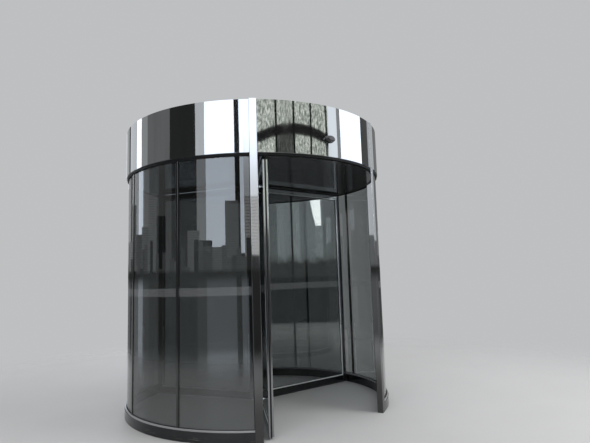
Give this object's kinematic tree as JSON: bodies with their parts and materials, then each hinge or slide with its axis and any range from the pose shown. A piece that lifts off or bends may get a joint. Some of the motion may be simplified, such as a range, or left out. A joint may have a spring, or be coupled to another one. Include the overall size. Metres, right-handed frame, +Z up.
{
  "type": "revolving door",
  "caption": "Round glass drum with a polished canopy, in which a rotor of glazed wings turns about an upright shaft.",
  "frame": {"origin": "on the floor at the middle of the drum, on the rotor's axis", "axes": "+Z up along the rotor's axis, -Y towards the street entrance, +X to the right seen from the street"},
  "size_m": [3.12, 3.21, 3.25],
  "materials": {
    "bead_steel": "satin stainless steel",
    "bearing_steel": "machined steel",
    "black_channel": "satin black",
    "brush_seal": "black nylon brush",
    "ceiling": "dark glossy lacquer",
    "dark_steel": "polished dark-toned stainless steel",
    "grey_steel": "grey primer",
    "polished_steel": "mirror-polished stainless steel",
    "sensor_plastic": "black moulded plastic",
    "wall_glass": "clear curved safety glass, slightly smoky",
    "wing_glass": "clear flat safety glass, slightly smoky"
  },
  "bodies": {
    "drum": {"base_ring_left": "dark_steel", "base_ring_right": "dark_steel", "canopy_cross_beams": "grey_steel", "canopy_ring_beam": "grey_steel", "ceiling_panel": "ceiling", "fascia_front": "polished_steel", "fascia_left": "polished_steel", "fascia_rear": "polished_steel", "fascia_right": "polished_steel", "floor_bearing": "bearing_steel", "glass_joints_left": "polished_steel", "glass_joints_right": "polished_steel", "head_channel_front": "black_channel", "head_channel_left": "black_channel", "head_channel_rear": "black_channel", "head_channel_right": "black_channel", "motion_sensor_front": "sensor_plastic", "motion_sensor_rear": "sensor_plastic", "post_front_left": "polished_steel", "post_front_right": "polished_steel", "post_rear_left": "polished_steel", "post_rear_right": "polished_steel", "roof_panel": "grey_steel", "top_bearing_housing": "bearing_steel", "wall_beads": "bead_steel", "wall_glass_left": "wall_glass", "wall_glass_right": "wall_glass"},
    "rotor": {"centre_shaft": "polished_steel", "shaft_collars": "polished_steel", "wing_1_bottom_rail": "dark_steel", "wing_1_glass": "wing_glass", "wing_1_inner_stile": "polished_steel", "wing_1_outer_stile": "polished_steel", "wing_1_seals": "brush_seal", "wing_1_top_rail": "polished_steel", "wing_2_bottom_rail": "dark_steel", "wing_2_glass": "wing_glass", "wing_2_inner_stile": "polished_steel", "wing_2_outer_stile": "polished_steel", "wing_2_seals": "brush_seal", "wing_2_top_rail": "polished_steel", "wing_3_bottom_rail": "dark_steel", "wing_3_glass": "wing_glass", "wing_3_inner_stile": "polished_steel", "wing_3_outer_stile": "polished_steel", "wing_3_seals": "brush_seal", "wing_3_top_rail": "polished_steel", "wing_beads": "bead_steel"}
  },
  "joints": [
    {"name": "rotor_spin", "type": "hinge", "parent": "drum", "child": "rotor", "pos_m": [0, 0, 0], "axis": [0, 0, 1], "continuous": true}
  ]
}
